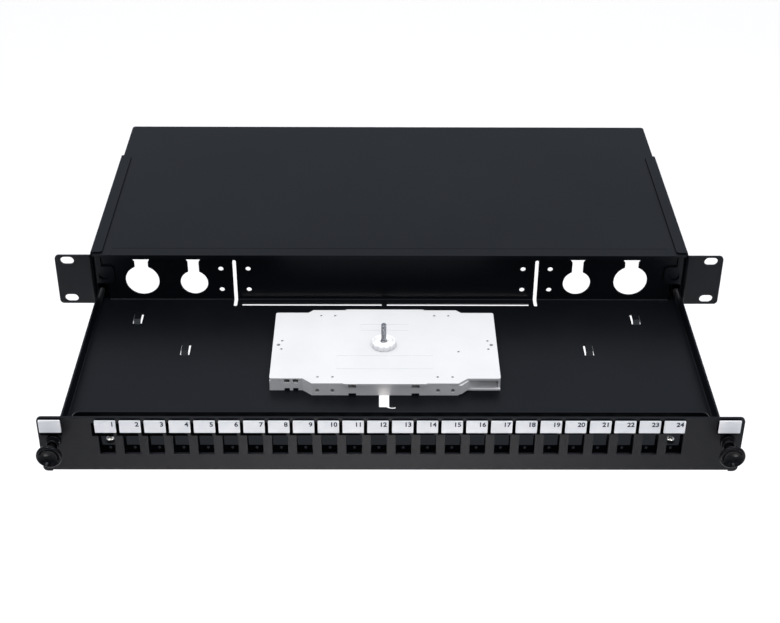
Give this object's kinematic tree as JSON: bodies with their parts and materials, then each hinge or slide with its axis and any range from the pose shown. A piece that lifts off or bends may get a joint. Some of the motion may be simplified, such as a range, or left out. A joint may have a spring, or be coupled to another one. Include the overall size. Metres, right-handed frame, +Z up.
{
  "type": "fiber termination box",
  "caption": "Rack-mount fibre termination box with a pull-out drawer, port panel, number plates, push-pull catches and a lidded splice cassette.",
  "frame": {"origin": "centre of the rack-ear slot pattern, on the front face of the ears", "axes": "+X to the right seen from the front, +Y to the rear into the rack, +Z up"},
  "size_m": [0.4826, 0.4185, 0.0436],
  "materials": {
    "black_powder": "fine-textured matt powder coat",
    "black_rivet": "semi-matt black",
    "bright_screw": "bright nickel plate",
    "black_gloss": "glossy moulded nylon",
    "black_matt": "dead-matt moulded black",
    "white_label": "smooth white engraved plastic",
    "zinc_stud": "zinc-plated thread",
    "white_plastic": "satin moulded plastic",
    "white_nut": "smooth moulded nylon"
  },
  "bodies": {
    "chassis": {"top_cover": "black_powder", "left_bracket": "black_powder", "right_bracket": "black_powder", "left_guide_rail": "black_powder", "right_guide_rail": "black_powder", "bracket_rivets": "black_rivet"},
    "drawer": {"drawer_tray": "black_powder", "front_panel": "black_powder", "adapter_plate": "black_powder", "foot_screws": "bright_screw", "label_carriers": "black_matt", "label_plates": "white_label", "end_label_carriers": "black_matt", "end_label_plates": "white_label", "left_grommet": "black_gloss", "right_grommet": "black_gloss", "cassette_stud": "zinc_stud", "cassette_base": "white_plastic"},
    "left_catch": {"left_plunger": "black_gloss"},
    "right_catch": {"right_plunger": "black_gloss"},
    "splice_lid": {"cassette_lid": "white_plastic"},
    "lid_nut": {"cassette_nut": "white_nut"}
  },
  "joints": [
    {"name": "drawer_slide", "type": "slide", "parent": "chassis", "child": "drawer", "axis": [0, 1, 0], "range_m": [0, 0.19]},
    {"name": "left_catch_push", "type": "slide", "parent": "drawer", "child": "left_catch", "axis": [0, 1, 0], "range_m": [0, 0.0055]},
    {"name": "right_catch_push", "type": "slide", "parent": "drawer", "child": "right_catch", "axis": [0, 1, 0], "range_m": [0, 0.0055]},
    {"name": "lid_lift", "type": "slide", "parent": "drawer", "child": "splice_lid", "axis": [0, 0, 1], "range_m": [0, 0.022]},
    {"name": "nut_turn", "type": "hinge", "parent": "splice_lid", "child": "lid_nut", "pos_m": [-0.0043, -0.0708, -0.0078], "axis": [0, 0, 1], "continuous": true}
  ]
}
